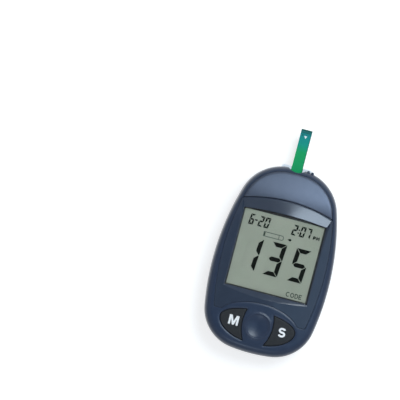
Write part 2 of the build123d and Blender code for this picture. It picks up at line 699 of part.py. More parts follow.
def case_screws():
    """Four self-tapping screws with cross recesses, heads at the back."""
    screws = []
    for x, y in screw_places:
        low = head_pocket_depth - screw_head_height
        screw = post(x, y, screw_head_radius, low, head_pocket_depth)
        screw += post(x, y, screw_radius - screw_fit, head_pocket_depth, screw_tip_z)
        screw -= Pos(x, y, low) * Box(cross_length, cross_width, 2 * cross_depth)
        screw -= Pos(x, y, low) * Box(cross_width, cross_length, 2 * cross_depth)
        screws.append(screw)
    return Compound(children=[screw.solid() for screw in screws])


def build():
    """Every sub-part by its node name."""
    master = front_master()
    return {
        "rear_cover": rear_cover(),
        "front_cover": front_cover(master),
        "top_cap": top_cap(master),
        "display_bezel": display_bezel(master),
        "display_window": display_window(),
        "lcd_panel": lcd_panel(),
        "lcd_holder": lcd_holder(),
        "zebra_connectors": zebra_connectors(),
        "circuit_board": circuit_board(),
        "microcontroller": microcontroller(),
        "crystal": crystal(),
        "buzzer": buzzer(),
        "board_components": board_components(),
        "key_contact_pads": key_contact_pads(),
        "keypad_mat": keypad_mat(),
        "m_button": button(-1),
        "s_button": button(1),
        "m_contact_pill": contact_pill(-1),
        "s_contact_pill": contact_pill(1),
        "m_key_web": key_web(-1),
        "s_key_web": key_web(1),
        "strip_port_guide": strip_port_guide(),
        "strip_connector": strip_connector(),
        "strip_contacts": strip_contacts(),
        "test_strip": test_strip(),
        "ejector_slider": ejector_slider(),
        "ejector_pusher": ejector_pusher(),
        "code_chip": code_chip(),
        "code_chip_socket": code_chip_socket(),
        "code_chip_pins": code_chip_pins(),
        "data_jack": data_jack(),
        "coin_cell": coin_cell(),
        "battery_contact_positive": battery_contact_positive(),
        "battery_contact_negative": battery_contact_negative(),
        "battery_cover": battery_cover(),
        "rear_label": rear_label(),
        "case_screws": case_screws(),
    }


os.makedirs("parts", exist_ok=True)
for node, shape in build().items():
    export_step(shape, f"parts/{node}.step")
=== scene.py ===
import math

import bpy
import numpy as np
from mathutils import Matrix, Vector, geometry


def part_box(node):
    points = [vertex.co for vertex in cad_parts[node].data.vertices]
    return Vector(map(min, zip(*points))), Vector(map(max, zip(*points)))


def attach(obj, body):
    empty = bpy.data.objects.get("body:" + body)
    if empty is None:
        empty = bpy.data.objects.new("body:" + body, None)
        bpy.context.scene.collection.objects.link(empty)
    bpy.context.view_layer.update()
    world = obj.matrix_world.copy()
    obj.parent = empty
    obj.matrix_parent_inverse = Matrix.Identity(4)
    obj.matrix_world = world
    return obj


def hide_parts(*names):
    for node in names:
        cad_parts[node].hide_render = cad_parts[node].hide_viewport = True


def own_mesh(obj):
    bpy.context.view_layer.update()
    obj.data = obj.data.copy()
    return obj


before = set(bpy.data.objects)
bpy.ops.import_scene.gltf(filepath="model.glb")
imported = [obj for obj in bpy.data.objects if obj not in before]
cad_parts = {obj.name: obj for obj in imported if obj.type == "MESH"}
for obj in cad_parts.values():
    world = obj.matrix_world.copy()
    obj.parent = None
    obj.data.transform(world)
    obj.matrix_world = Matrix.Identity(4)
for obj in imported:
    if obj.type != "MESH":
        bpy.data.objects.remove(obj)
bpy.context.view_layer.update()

# --- Back shell of the case
# Lower half of the case, moulded in navy ABS with a fine spark-eroded texture. It holds the
# battery bay, the ejector's well and the screw pillars; the front half closes on its lip.

millimetre = 0.001
cloud_range = 0.3, 0.7


def wiring(holder):
    """The nodes of a material or world, and the call that links two of them."""
    holder.use_nodes = True
    return holder.node_tree.nodes, holder.node_tree.links.new


def ramp(nodes, stops):
    """A colour ramp through stops of share and colour."""
    made = nodes.new("ShaderNodeValToRGB")
    elements = made.color_ramp.elements
    for _ in stops[2:]:
        elements.new(1.0)
    for element, (share, colour) in zip(elements, stops):
        element.position, element.color = share, (*colour, 1)
    return made


def finish(name, dark, light, rough=(0.4, 0.5), patch=4.0, grain=0.15, depth=0.01, **sockets):
    """Two close tones in soft patches, an uneven gloss and a fine grain; lengths in millimetres."""
    material = bpy.data.materials.new(name)
    nodes, link = wiring(material)
    shader = nodes["Principled BSDF"]
    for socket, value in sockets.items():
        shader.inputs[socket.replace("_", " ")].default_value = value
    place = nodes.new("ShaderNodeTexCoord").outputs["Object"]

    def cloud(size, detail):
        noise = nodes.new("ShaderNodeTexNoise")
        noise.inputs["Scale"].default_value = 1 / (size * millimetre)
        noise.inputs["Detail"].default_value = detail
        link(place, noise.inputs["Vector"])
        return noise.outputs["Fac"]

    tones = ramp(nodes, tuple(zip(cloud_range, (dark, light))))
    link(cloud(patch, 4), tones.inputs["Fac"])
    link(tones.outputs["Color"], shader.inputs["Base Color"])
    gloss = nodes.new("ShaderNodeMapRange")
    gloss.inputs["From Min"].default_value, gloss.inputs["From Max"].default_value = cloud_range
    gloss.inputs["To Min"].default_value, gloss.inputs["To Max"].default_value = rough
    link(cloud(patch / 3, 5), gloss.inputs["Value"])
    link(gloss.outputs["Result"], shader.inputs["Roughness"])
    bump = nodes.new("ShaderNodeBump")
    bump.inputs["Strength"].default_value = 0.6
    bump.inputs["Distance"].default_value = depth * millimetre
    link(cloud(grain, 2), bump.inputs["Height"])
    link(bump.outputs["Normal"], shader.inputs["Normal"])
    return material


def coat(material, *names):
    """Gives carried-over solids their finish."""
    for name in names:
        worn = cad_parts[name].data.materials
        worn.clear()
        worn.append(material)


navy_abs = finish("navy_abs", (0.019, 0.034, 0.069), (0.024, 0.040, 0.078), rough=(0.28, 0.34),
                  depth=0.004, Specular_IOR_Level=0.45)
coat(navy_abs, "rear_cover")

# --- Battery contacts and cell
# Two stamped leaves of nickel-plated spring steel bear on a 20 mm lithium cell, one on the
# side of its can and one on its smaller cap.

nickel = finish("nickel_plate", (0.50, 0.48, 0.44), (0.62, 0.60, 0.56), rough=(0.22, 0.36),
                patch=1.2, grain=0.06, depth=0.0008, Metallic=1.0)
coat(nickel, "coin_cell", "battery_contact_positive", "battery_contact_negative")

# --- Ejector
# A thumb slide of black acetal with five grip ribs on the back, and the arm inside the case
# that it carries, which pushes the used strip out.

acetal = finish("black_acetal", (0.018, 0.020, 0.026), (0.026, 0.029, 0.036), rough=(0.30, 0.42),
                patch=2.0, grain=0.1, depth=0.004)
coat(acetal, "ejector_slider", "ejector_pusher")

# --- Strip connector, chip socket and data jack
# Cream nylon housings soldered under the board, with gold-plated bronze springs, and the
# black housing of the 2.5 mm jack.

nylon = finish("cream_nylon", (0.52, 0.48, 0.39), (0.60, 0.56, 0.46), rough=(0.45, 0.6), patch=2.5)
gold = finish("gold_plate", (0.62, 0.43, 0.16), (0.74, 0.53, 0.22), rough=(0.2, 0.32), patch=0.8,
              grain=0.05, depth=0.002, Metallic=1.0)
jack_black = finish("jack_black", (0.014, 0.014, 0.016), (0.022, 0.022, 0.024), rough=(0.35, 0.5),
                    patch=1.5)
coat(nylon, "strip_connector", "code_chip_socket")
coat(gold, "strip_contacts", "code_chip_pins")
coat(jack_black, "data_jack")

# --- Circuit board
# Glass epoxy board with green solder mask. Under it sit the controller, the clock crystal,
# the sounder and rows of chip resistors; on it are the carbon pads of the keys.

solder_mask = finish("solder_mask", (0.010, 0.10, 0.045), (0.018, 0.15, 0.07), rough=(0.2, 0.35),
                     patch=1.6, grain=0.3)
epoxy = finish("chip_epoxy", (0.016, 0.016, 0.017), (0.026, 0.026, 0.028), rough=(0.5, 0.65),
               patch=0.8, grain=0.08)
steel = finish("plain_steel", (0.42, 0.42, 0.41), (0.55, 0.55, 0.54), rough=(0.28, 0.4), patch=1.0,
               grain=0.05, depth=0.0006, Metallic=1.0)
ceramic = finish("chip_ceramic", (0.36, 0.28, 0.18), (0.46, 0.38, 0.26), rough=(0.4, 0.55),
                 patch=0.6)
carbon = finish("carbon_ink", (0.010, 0.010, 0.010), (0.018, 0.018, 0.018), rough=(0.6, 0.75),
                patch=0.8)
coat(solder_mask, "circuit_board")
coat(epoxy, "microcontroller", "buzzer")
coat(steel, "crystal")
coat(ceramic, "board_components")
coat(carbon, "key_contact_pads", "m_contact_pill", "s_contact_pill")

# --- Key mat and webs
# Grey silicone sheet moulded to lie on the board, with a thin cone round each key that in the
# real meter folds when the key goes down. Here each web only gets a mesh of its own and keeps
# its shape.

grey_silicone = finish("grey_silicone", (0.040, 0.040, 0.044), (0.056, 0.056, 0.060),
                       rough=(0.55, 0.7), patch=2.0)
coat(grey_silicone, "keypad_mat", "m_key_web", "s_key_web")
for node, press in (("m_key_web", "m_press"), ("s_key_web", "s_press")):
    low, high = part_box(node)
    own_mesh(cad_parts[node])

# --- Display holder and glass
# White ABS frame that stands on the board and carries the liquid crystal cell with its
# grey-green reflector. Two strips of layered silicone rubber join the cell to the board.

white_abs = finish("white_abs", (0.70, 0.71, 0.71), (0.78, 0.79, 0.79), patch=3.0)
zebra_rubber = finish("zebra_rubber", (0.26, 0.26, 0.27), (0.40, 0.40, 0.41), rough=(0.5, 0.65),
                      patch=0.3)
reflector = finish("lcd_reflector", (0.374, 0.388, 0.321), (0.396, 0.410, 0.340), rough=(0.5, 0.6),
                   patch=9.0, grain=0.08, depth=0.002, Specular_IOR_Level=0.0)
coat(white_abs, "lcd_holder")
coat(zebra_rubber, "zebra_connectors")
coat(reflector, "lcd_panel")

# --- Segments of the display
# Dark shapes in the liquid crystal: a date, a time and a reading in slanted segments, small
# marks, and the segments that are off, which show as faint ghosts.

glass_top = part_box("lcd_panel")[1].z / millimetre
segment_height, off_height = 0.03, 0.015
lcd_scale, lcd_middle_y = 0.9036, 2.65


class Skin:
    """A mesh put together from rings of points, in millimetres."""

    def __init__(self):
        self.points, self.faces = [], []

    def ring(self, plan, height):
        """Adds a ring of plan points at one height, a height each, or a height by place."""
        plan = np.asarray(plan, float)
        if callable(height):
            height = height(plan[:, 0], plan[:, 1])
        height = np.broadcast_to(height, len(plan))
        first = len(self.points)
        self.points += [(x, y, z) for (x, y), z in zip(plan, height)]
        return list(range(first, first + len(plan)))

    def wall(self, low, high):
        """Joins two rings of the same count with faces."""
        for here in range(len(low)):
            after = (here + 1) % len(low)
            self.faces.append((low[here], low[after], high[after], high[here]))

    def under(self, plan, height, above):
        """Adds a ring below another one, with the wall between them."""
        ring = self.ring(plan, height)
        self.wall(ring, above)
        return ring

    def prism(self, plan, low, high):
        """A closed slab with this plan."""
        bottom, top = self.ring(plan, low), self.ring(plan, high)
        self.wall(bottom, top)
        self.faces += [tuple(reversed(bottom)), tuple(top)]

    def sleeve(self, rings):
        """Joins each ring of a row to the next."""
        for low, high in zip(rings, rings[1:]):
            self.wall(low, high)

    def band(self, plans, low, high):
        """A closed band between an outer and an inner plan of the same count."""
        rings = [self.ring(plan, height) for plan in plans for height in (low, high)]
        self.sleeve([rings[place] for place in (0, 1, 3, 2, 0)])

    def piece(self, name, body, slot, material, nodes=(), crease=35):
        """Makes the object, smooth but for its creases, and hangs it on its body."""
        mesh = bpy.data.meshes.new(name)
        mesh.from_pydata([Vector(p) * millimetre for p in self.points], [], self.faces)
        mesh.validate()
        made = bpy.data.objects.new(name, mesh)
        bpy.context.scene.collection.objects.link(made)
        bpy.context.view_layer.objects.active = made
        made.select_set(True)
        bpy.ops.object.mode_set(mode="EDIT")
        bpy.ops.mesh.select_all(action="SELECT")
        bpy.ops.mesh.normals_make_consistent(inside=False)
        bpy.ops.object.mode_set(mode="OBJECT")
        made.select_set(False)
        mesh.shade_smooth()
        mesh.set_sharp_from_angle(angle=math.radians(crease))
        mesh.materials.append(material)
        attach(made, body)
        if nodes:
            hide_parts(*nodes)
        return made


def lcd_place(points):
    """From the display's own drawing, centred on the window, to the case."""
    return [(x * lcd_scale, y * lcd_scale + lcd_middle_y) for x, y in points]


def segment_plan(x, y, wide, tall, thick, slant, which):
    """Corners of one segment, a to g, of a digit whose lower left corner is x, y."""
    half, middle, gap = thick / 2, tall / 2, 0.13 * thick
    cut, tip, flank = 0.7 * gap, 0.6 * half, 1.41 * gap
    if which == "g":
        plan = [(tip, middle), (tip + half, middle + half), (wide - tip - half, middle + half),
                (wide - tip, middle), (wide - tip - half, middle - half),
                (tip + half, middle - half)]
    elif which in "ad":
        plan = [(cut, tall), (wide - cut, tall), (wide - thick - cut, tall - thick),
                (thick + cut, tall - thick)]
    else:
        knee = max(0.05, tip - 0.9 * gap)
        plan = [(0, middle + gap / 2), (knee, middle + gap / 2),
                (thick, middle + thick - tip + flank), (thick, tall - thick - cut), (0, tall - cut)]
    if which in "dec":
        plan = [(px, tall - py) for px, py in plan]
    if which in "bc":
        plan = [(wide - px, py) for px, py in plan]
    return [(x + px + slant * py, y + py) for px, py in plan]


digit_segments = {"0": "abcdef", "1": "bc", "2": "abged", "3": "abgcd", "5": "afgcd",
                  "6": "afgedc", "7": "abc"}


def digit(ink, faint, character, x, y, wide, tall, thick, slant):
    """Draws one digit, its lit segments into ink and the others into faint."""
    for which in "abcdefg":
        lit = which in digit_segments[character]
        plan = lcd_place(segment_plan(x, y, wide, tall, thick, slant, which))
        skin, rise = (ink, segment_height) if lit else (faint, off_height)
        skin.prism(plan, glass_top, glass_top + rise)


def ribbon(skin, points, width, low, high, closed=False, place=lcd_place):
    """A line of constant width along points."""
    line = np.array(points, float)
    ahead = np.roll(line, -1, 0) - line
    behind = line - np.roll(line, 1, 0)
    if not closed:
        ahead[-1], behind[0] = behind[-1], ahead[0]
    ahead /= np.linalg.norm(ahead, axis=1)[:, None]
    behind /= np.linalg.norm(behind, axis=1)[:, None]
    along = ahead + behind
    along /= np.linalg.norm(along, axis=1)[:, None]
    across = np.stack([-along[:, 1], along[:, 0]], 1)
    reach = width / 2 / np.maximum(0.6, (along * ahead).sum(1))[:, None]
    left, right = line + across * reach, line - across * reach
    if closed:
        skin.band((place(left), place(right)), low, high)
    else:
        bottom, top = [skin.ring(place(np.vstack([left, right[::-1]])), z) for z in (low, high)]
        skin.wall(bottom, top)
        count = len(line)
        for ring in (bottom, top):
            for here in range(count - 1):
                skin.faces.append((ring[here], ring[here + 1], ring[2 * count - 2 - here],
                                   ring[2 * count - 1 - here]))


def arc(x, y, radius_x, radius_y, start, end, count=14):
    """Points along an arc, with angles in degrees."""
    turn = np.radians(np.linspace(start, end, count))
    return np.stack([x + radius_x * np.cos(turn), y + radius_y * np.sin(turn)], 1)


def loop(x, y, radius_x, radius_y, count):
    """A closed ellipse."""
    return arc(x, y, radius_x, radius_y, 0, 360 - 360 / count, count)


# rows of digits: height on the glass, then a digit's width, height, stroke and slant
reading_row, date_row = (-10.9, 8.06, 18.05, 2.3, 0.073), (13.1, 2.65, 5.75, 0.9, 0.11)
ink, faint = Skin(), Skin()
for row, digits in ((reading_row, (("1", -17.26), ("3", -4.54), ("5", 8.86))),
                    (date_row, (("6", -18.67), ("2", -13.6), ("0", -10.3), ("2", 4.98),
                                ("0", 9.3), ("7", 12.55)))):
    for character, x in digits:
        digit(ink, faint, character, x, *row)

# the date's dash, the two points of the time, then the P's stem and bowl, and the M
low, high = glass_top, glass_top + segment_height
for points, stroke in (
        ([(-15.4, 16.0), (-14.0, 16.0)], 0.72),
        ([(8.65, 14.55), (8.72, 15.25)], 0.72),
        ([(8.82, 16.25), (8.9, 16.95)], 0.72),
        ([(17.25, 13.6), (17.3, 15.3)], 0.62),
        ([(17.3, 15.13), *arc(17.85, 14.75, 0.38, 0.38, 90, -90, 8), (17.3, 14.37)], 0.55),
        ([(18.9, 13.6), (18.98, 15.2), (19.6, 14.3), (20.25, 15.2), (20.32, 13.6)], 0.58)):
    ribbon(ink, points, stroke, low, high)

# the word CODE, letter by letter
code = Skin()
code_y, code_half, code_stroke, code_bar = -18.05, 1.05, 0.45, 0.42
code_top, code_foot = code_y + code_half, code_y - code_half
ribbon(code, arc(11.6, code_y, 0.9, code_half, 50, 310), code_stroke, low, high)
ribbon(code, loop(14.0, code_y, 0.85, code_half, 24), code_stroke, low, high, closed=True)
ribbon(code, [(15.6, code_top), *arc(16.1, code_y, 0.95, code_half, 90, -90), (15.6, code_foot)],
       code_stroke, low, high, closed=True)
ribbon(code, [(19.1, code_top), (17.75, code_top), (17.75, code_foot), (19.1, code_foot)],
       code_stroke, low, high)
ribbon(code, [(17.9, code_y), (18.9, code_y)], code_bar, low, high)

# outline of a strip with its line and its dark end, and the drop beside it
symbol = Skin()
symbol_y, symbol_half, bar_half = 10.05, 1.15, 0.95
ribbon(symbol, [(-9.0, symbol_y - symbol_half), (-9.0, symbol_y + symbol_half),
                *arc(0.9, symbol_y, 0.9, symbol_half, 90, -90, 12)], 0.42, low, high, closed=True)
for skin, x, stroke in ((symbol, -0.7, 0.36), (code, -8.6, 0.8)):
    ribbon(skin, [(x, symbol_y - bar_half), (x, symbol_y + bar_half)], stroke, low, high)
drop_y = 10.15
drop = [*arc(5.4, drop_y, 0.72, 0.62, -115, 115), (4.0, drop_y)]
ink.prism(lcd_place(drop), low, high)

for skin, name, dark, light, rough in (
        (ink, "lcd_segments", (0.004, 0.005, 0.004), (0.007, 0.008, 0.007), (0.4, 0.5)),
        (code, "lcd_small_print", (0.050, 0.062, 0.050), (0.060, 0.073, 0.060), (0.4, 0.5)),
        (symbol, "lcd_strip_symbol", (0.115, 0.135, 0.115), (0.130, 0.150, 0.130), (0.4, 0.5)),
        (faint, "lcd_segments_off", (0.364, 0.378, 0.313), (0.387, 0.401, 0.333), (0.5, 0.6))):
    skin.piece(name, "case", "lcd_glass", finish(name, dark, light, rough, Specular_IOR_Level=0.0))

# --- Display mask
# Black ink frame printed on the underside of the window's lens. It hides the edges of the
# liquid crystal cell, and stands a little inside the bezel's opening. The wide dark band it shows
# under the arched top of the opening is also painted shade, standing in for the shaded wall there.

mask_z, mask_skin, mask_margin = glass_top + 0.05, 0.02, 0.15
mask_low_x, mask_high_x, mask_low_y, mask_high_y = -19.75, 19.6, -15.65, 21.7
glass_low, glass_high = (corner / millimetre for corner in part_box("display_window"))


def oblong(x0, x1, y0, y1):
    """Corners of an upright rectangle."""
    return [(x0, y0), (x1, y0), (x1, y1), (x0, y1)]


mask = Skin()
mask.band([oblong(glass_low.x + mask_margin, glass_high.x - mask_margin,
                  glass_low.y + mask_margin, glass_high.y - mask_margin),
           oblong(mask_low_x, mask_high_x, mask_low_y, mask_high_y)], mask_z, mask_z + mask_skin)
# near-black ink; where it shows under the top of the opening it is painted shade
mask_ink_and_shade = finish("mask_ink_and_shade", (0.004, 0.005, 0.006), (0.007, 0.008, 0.010), rough=(0.35, 0.45),
                  patch=3.0, grain=0.3, depth=0.001)
mask.piece("display_mask", "case", "lcd_glass", mask_ink_and_shade)

# --- Display window
# Clear polycarbonate lens, cut from sheet and bonded under the bezel. Light passes it both
# ways, so the lamps reach the display.

lens = finish("clear_lens", (0.96, 0.98, 0.97), (1.0, 1.0, 1.0), rough=(0.0, 0.03), patch=12.0,
              grain=2.0, depth=0.0005, IOR=1.49, Transmission_Weight=1.0)
nodes, link = wiring(lens)
open_way, choose = nodes.new("ShaderNodeBsdfTransparent"), nodes.new("ShaderNodeMixShader")
link(nodes.new("ShaderNodeLightPath").outputs["Is Shadow Ray"], choose.inputs["Fac"])
link(nodes["Principled BSDF"].outputs["BSDF"], choose.inputs[1])
link(open_way.outputs["BSDF"], choose.inputs[2])
link(choose.outputs["Shader"], nodes["Material Output"].inputs["Surface"])
coat(lens, "display_window")

# --- Front shell of the case
# Upper half in the same navy ABS: drafted side, rounded shoulder and a crowned top that is
# highest at the brow. It frames the keys, carries the dished rest, and is open for the bezel.

case_half_x, case_low_y, case_high_y, widest_y = 29.0, -46.0, 46.0, -6.6
side_radius, bottom_radius, top_radius = 130.0, 76.0, 70.0
bottom_corner, top_corner = 20.0, 21.5
parting_z, draft, shoulder = 10.0, math.tan(math.radians(4)), 3.4
shell_wall, roof, case_spacing = 1.8, 1.9, 0.4
crown_y = np.array([-50, -40, -31.5, -18, 0, 13, 22, 29, 36, 50], float)
crown_z = np.array([15.8, 18.1, 18.8, 19.05, 19.25, 19.5, 20.25, 20.98, 20.2, 15.8])
crest_z, dome_radius = 21.0, 300.0
dome_axis_z = crest_z - dome_radius


def crown_bend():
    """Second derivatives of the natural spline through the crown's points."""
    step, right = np.diff(crown_y), np.zeros(len(crown_y))
    matrix = np.eye(len(crown_y))
    for here, (before, after) in enumerate(zip(step, step[1:])):
        matrix[here + 1, here:here + 3] = before, 2 * (before + after), after
    right[1:-1] = 6 * np.diff(np.diff(crown_z) / step)
    return np.linalg.solve(matrix, right)


bend = crown_bend()


def crown(y):
    """Height of the crowned top along the case."""
    y = np.clip(np.asarray(y, float), crown_y[0], crown_y[-1])
    here = np.clip(np.searchsorted(crown_y, y) - 1, 0, len(crown_y) - 2)
    step = crown_y[here + 1] - crown_y[here]
    after = (y - crown_y[here]) / step
    before = 1 - after
    return (before * crown_z[here] + after * crown_z[here + 1]
            + ((before ** 3 - before) * bend[here] + (after ** 3 - after) * bend[here + 1])
            * step ** 2 / 6)


def dome(x, y):
    """Height of the top, which is crowned from side to side as well."""
    return dome_axis_z + np.sqrt((crown(y) - dome_axis_z) ** 2 - np.square(x))


def even(line, spacing):
    """The same closed line with its points evenly spaced."""
    line = np.vstack([line, line[:1]])
    run = np.concatenate([[0], np.cumsum(np.linalg.norm(np.diff(line, axis=0), axis=1))])
    places = np.linspace(0, run[-1], max(8, int(run[-1] / spacing)), endpoint=False)
    return np.stack([np.interp(places, run, line[:, axis]) for axis in (0, 1)], 1)


def corner_centre(first, first_radius, second, second_radius, sign):
    """Where the centre of a corner arc lies, inside two circles and right of the middle."""
    first, second = np.array(first), np.array(second)
    gap = np.linalg.norm(second - first)
    along = (gap ** 2 + first_radius ** 2 - second_radius ** 2) / (2 * gap)
    unit = (second - first) / gap
    rise = math.sqrt(first_radius ** 2 - along ** 2)
    return first + along * unit + sign * rise * np.array([-unit[1], unit[0]])


def egg_line():
    """Plan of the case: four long arcs with round corners, anticlockwise."""
    side = (case_half_x - side_radius, widest_y)
    low, high = (0.0, case_low_y + bottom_radius), (0.0, case_high_y - top_radius)
    low_corner = corner_centre(side, side_radius - bottom_corner, low,
                               bottom_radius - bottom_corner, -1)
    high_corner = corner_centre(side, side_radius - top_corner, high,
                                top_radius - top_corner, 1)

    def bearing(centre, point):
        return math.degrees(math.atan2(point[1] - centre[1], point[0] - centre[0]))

    turns = (-90, bearing(low, low_corner), bearing(side, low_corner),
             bearing(side, high_corner), bearing(high, high_corner), 90)
    arcs = ((low, bottom_radius, 60), (low_corner, bottom_corner, 80), (side, side_radius, 160),
            (high_corner, top_corner, 80), (high, top_radius, 60))
    right = np.vstack([arc(*centre, radius, radius, start, end, count)[:-1]
                       for (centre, radius, count), start, end in zip(arcs, turns, turns[1:])]
                      + [(0, case_high_y)])
    left = (right * (-1, 1))[::-1]
    return even(np.vstack([right, left[1:-1]]), case_spacing)


def outward(line):
    """Unit normals that point out of a closed anticlockwise line."""
    along = np.roll(line, -1, 0) - np.roll(line, 1, 0)
    normal = np.stack([along[:, 1], -along[:, 0]], 1)
    return normal / np.linalg.norm(normal, axis=1)[:, None]


def inset(line, way_in):
    """The line moved inward, by one distance or by one for each point."""
    return line - outward(line) * np.reshape(way_in, (-1, 1))


case_line = egg_line()
case_normal = outward(case_line)


def depth_in(x, y):
    """How far inside the case outline a point of the plan lies."""
    reach = (case_line * case_normal).sum(1)
    points = np.stack([np.ravel(x), np.ravel(y)], 1)
    return np.reshape((reach[None, :] - points @ case_normal.T).min(1), np.shape(x))


def top_inset(x, y):
    """How far the side has drawn in where the shoulder's rounding begins."""
    return (dome(x, y) - shoulder - parting_z) * draft


def shell_top(x, y):
    """Height of the outer surface: the crown, less what the shoulder rounds off."""
    way_in = np.clip(shoulder - (depth_in(x, y) - top_inset(x, y)), 0, shoulder)
    return dome(x, y) - shoulder + np.sqrt(np.maximum(shoulder ** 2 - way_in ** 2, 0))


def within(line, x, y):
    """Which plan points lie inside a closed line."""
    x, y = np.ravel(x)[:, None], np.ravel(y)[:, None]
    x0, y0 = line[:, 0][None], line[:, 1][None]
    x1, y1 = np.roll(line[:, 0], -1)[None], np.roll(line[:, 1], -1)[None]
    crossing = (y0 > y) != (y1 > y)
    slope = (x1 - x0) / np.where(y1 == y0, 1, y1 - y0)
    return (crossing & (x < slope * (y - y0) + x0)).sum(1) % 2 == 1


def distance(points, others):
    """From each plan point to the nearest of the others."""
    return np.array([np.hypot(*(others - point).T).min() for point in points])


def fill(skin, outer, holes, height, spacing, guides=(), ridges=()):
    """Covers the area between closed rings with triangles whose inner points follow height.

    Guides are further inner points, and ridges are lines that the triangles' edges keep to."""
    ridge_gap, ridge_reach = 0.15, 0.6
    row_step, guide_gap, edge_gap = 0.866 * spacing, 0.55 * spacing, 0.3 * spacing
    rings = [outer, *holes]
    lines = [np.array([skin.points[index][:2] for index in ring]) for ring in rings]
    bound = np.vstack(lines)

    def in_area(points):
        inside = within(lines[0], *points.T)
        for line in lines[1:]:
            inside &= ~within(line, *points.T)
        return inside

    known = [index for ring in rings for index in ring]
    edges, first = [], 0
    for ring in rings:
        count = len(ring)
        edges += [(first + here, first + (here + 1) % count) for here in range(count)]
        first += count
    fixed = np.vstack([np.zeros((0, 2)), *guides])
    for ridge in ridges:
        near = distance(ridge, bound)
        inner = ridge[(near > ridge_gap) & in_area(ridge)]
        chain = list(range(len(known), len(known) + len(inner)))
        known += skin.ring(inner, height)
        for end, place in ((0, 0), (-1, len(chain) + 1)):
            if near[end] < ridge_reach:
                chain.insert(place, int(np.hypot(*(bound - ridge[end]).T).argmin()))
        edges += zip(chain, chain[1:])
        fixed = np.vstack([fixed, inner])
    if spacing:
        low, high = bound.min(0), bound.max(0)
        loose = np.array([(x + (row % 2) * spacing / 2, y)
                          for row, y in enumerate(np.arange(low[1], high[1], row_step))
                          for x in np.arange(low[0], high[0], spacing)])
        loose = loose[in_area(loose)]
        loose = loose[distance(loose, np.vstack([fixed, bound])) > guide_gap]
        loose = np.vstack([loose, *guides])
        loose = loose[in_area(loose) & (distance(loose, bound) > edge_gap)]
        known += skin.ring(loose, height)
    plan = [Vector(skin.points[index][:2]) for index in known]
    made = geometry.delaunay_2d_cdt(plan, edges, [], 0, 1e-9, True)
    places, triangles, origins = made[0], made[2], made[3]
    flat = np.array([tuple(place) for place in places])
    corner = [known[origin[0]] if origin else skin.ring([place], height)[0]
              for origin, place in zip(origins, flat)]
    kept = in_area(flat[np.array(triangles)].mean(1))
    skin.faces += [tuple(corner[index] for index in triangle)
                   for triangle, wanted in zip(triangles, kept) if wanted]


def rounded_edge(skin, line, height, radius, hole=False, steps=4):
    """Rings over a rounded edge, from the wall's top to where the surface begins."""
    rings = []
    radius = np.broadcast_to(radius, len(line))
    for turn in np.radians(np.linspace(0, 90, steps + 1)):
        shift = radius * (1 - math.cos(turn)) * (-1 if hole else 1)
        plan = inset(line, shift)
        rings.append(skin.ring(plan, height(*plan.T) - radius * (1 - math.sin(turn))))
    skin.sleeve(rings)
    return rings


def trace(inside, x, y, spacing, rounds=0, reach=60, count=2400):
    """Closed line round a region that is seen whole from x, y, by halving along rays.

    Its corners are eased in a number of rounds."""
    turn = np.linspace(-math.pi / 2, 1.5 * math.pi, count, endpoint=False)
    ray, near, far = np.stack([np.cos(turn), np.sin(turn)]), np.zeros(count), np.full(count, reach)
    for _ in range(40):
        middle = (near + far) / 2
        hit = inside(x + middle * ray[0], y + middle * ray[1])
        near, far = np.where(hit, middle, near), np.where(hit, far, middle)
    line = even((near * ray).T + (x, y), spacing)
    for _ in range(rounds):
        line = (np.roll(line, 1, 0) + 2 * line + np.roll(line, -1, 0)) / 4
    return line


# the bezel's place in the shell, and the cap's
brow_radius, brow_y = 73.0, 29.6
panel_radius, panel_half_x, panel_widest_y, panel_low_y = 130.0, 25.35, -0.9, -28.0
oval_y, oval_x_radius, oval_y_radius = -31.45, 19.9, 10.3
panel_y, cap_inset, shut_gap, seat_z = 5.0, 2.6, 0.12, 17.2


def in_circle(x, y, centre_x, centre_y, radius):
    """Which plan points lie inside a circle."""
    return np.hypot(x - centre_x, y - centre_y) < radius


def below_brow(x, y, grow):
    """Which plan points lie below the brow's arc, moved out by a distance."""
    return in_circle(x, y, 0, brow_y - brow_radius, brow_radius + grow)


def in_panel(x, y, grow):
    """Which plan points lie in the bezel's place, widened all round."""
    offset = panel_half_x - panel_radius
    sides = (in_circle(x, y, offset, panel_widest_y, panel_radius + grow)
             & in_circle(x, y, -offset, panel_widest_y, panel_radius + grow))
    oval = ((x / (oval_x_radius - grow)) ** 2 + ((y - oval_y) / (oval_y_radius - grow)) ** 2) < 1
    return sides & below_brow(x, y, grow) & (y > panel_low_y - grow) & ~oval


def in_cap(x, y, grow):
    """Which plan points lie in the cap's place, widened all round."""
    return (depth_in(x, y) > cap_inset - grow) & ~below_brow(x, y, -grow) & (y > 0)


# the pockets of the two keys
field_x, field_up, field_down = 18.7, 6.6, 9.7
bridge_radius, bridge_half, bridge_y = 19.4, 7.4, -31.25
pocket_x, pocket_y, pocket_spacing = 12.5, -32.5, 0.25


def in_pocket(x, y, side, grow):
    """Which plan points lie in the pocket on one side, -1 or 1, widened all round."""
    up = np.where(y > oval_y, field_up, field_down) + grow
    field = (x / (field_x + grow)) ** 2 + ((y - oval_y) / up) ** 2 < 1
    edge, offset = bridge_radius - grow, bridge_radius - bridge_half
    bridge = in_circle(x, y, -offset, bridge_y, edge) & in_circle(x, y, offset, bridge_y, edge)
    return field & ~bridge & (x * side > 0)


def pocket_line(side, grow):
    """Closed line round one pocket."""
    return trace(lambda x, y: in_pocket(x, y, side, grow), side * pocket_x, pocket_y,
                 pocket_spacing, rounds=6, reach=20)


pockets = [pocket_line(side, 0) for side in (-1, 1)]

